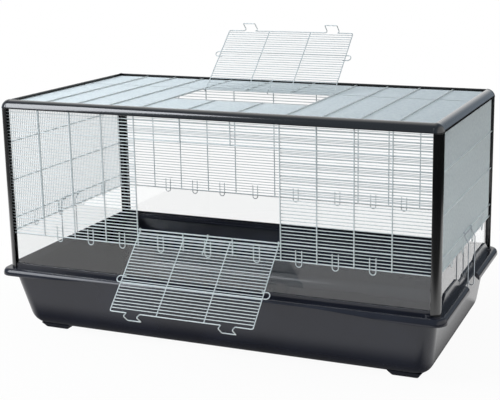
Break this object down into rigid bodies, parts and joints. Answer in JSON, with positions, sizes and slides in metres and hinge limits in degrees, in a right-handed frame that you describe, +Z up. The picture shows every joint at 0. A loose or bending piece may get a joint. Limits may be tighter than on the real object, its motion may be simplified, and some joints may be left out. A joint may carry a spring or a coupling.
{
  "type": "rodent cage",
  "caption": "Long rodent cage: deep black tray, clear window band, wire panels in a quarter-round frame, hinged wire doors in front and on top, wire clips at the ends.",
  "frame": {"origin": "centre of the footprint, on the floor under the tray's feet", "axes": "+X along the cage to the viewer's right, +Y from the front door to the back, +Z up"},
  "size_m": [1.008, 0.661, 0.6629],
  "materials": {
    "tray_plastic": "satin",
    "frame_plastic": "gloss",
    "plated_wire": "bright plated",
    "clear_plastic": "clear gloss",
    "clip_wire": "bright plated"
  },
  "bodies": {
    "cage": {"base_tray": "tray_plastic", "post_front_left": "frame_plastic", "post_front_right": "frame_plastic", "post_back_left": "frame_plastic", "post_back_right": "frame_plastic", "rail_front": "frame_plastic", "rail_back": "frame_plastic", "rail_left": "frame_plastic", "rail_right": "frame_plastic", "corner_front_left": "frame_plastic", "corner_front_right": "frame_plastic", "corner_back_left": "frame_plastic", "corner_back_right": "frame_plastic", "panel_front": "plated_wire", "panel_back": "plated_wire", "panel_left": "plated_wire", "panel_right": "plated_wire", "panel_top": "plated_wire", "window_front": "clear_plastic", "window_back": "clear_plastic", "window_left": "clear_plastic", "window_right": "clear_plastic"},
    "front_door": {"front_door": "plated_wire"},
    "top_door": {"top_door": "plated_wire"},
    "clip_left": {"clip_left": "clip_wire"},
    "clip_right": {"clip_right": "clip_wire"}
  },
  "joints": [
    {"name": "front_door_hinge", "type": "hinge", "parent": "cage", "child": "front_door", "pos_m": [0, -0.2461, 0.2665], "axis": [-1, 0, 0], "range_deg": [0, 132]},
    {"name": "top_door_hinge", "type": "hinge", "parent": "cage", "child": "top_door", "pos_m": [0.0014, 0.0759, 0.5195], "axis": [1, 0, 0], "range_deg": [0, 133]},
    {"name": "clip_left_hinge", "type": "hinge", "parent": "cage", "child": "clip_left", "pos_m": [-0.48425, 0, 0.259], "axis": [0, 1, 0], "range_deg": [0, 65]},
    {"name": "clip_right_hinge", "type": "hinge", "parent": "cage", "child": "clip_right", "pos_m": [0.48425, 0, 0.259], "axis": [0, -1, 0], "range_deg": [0, 65]}
  ]
}
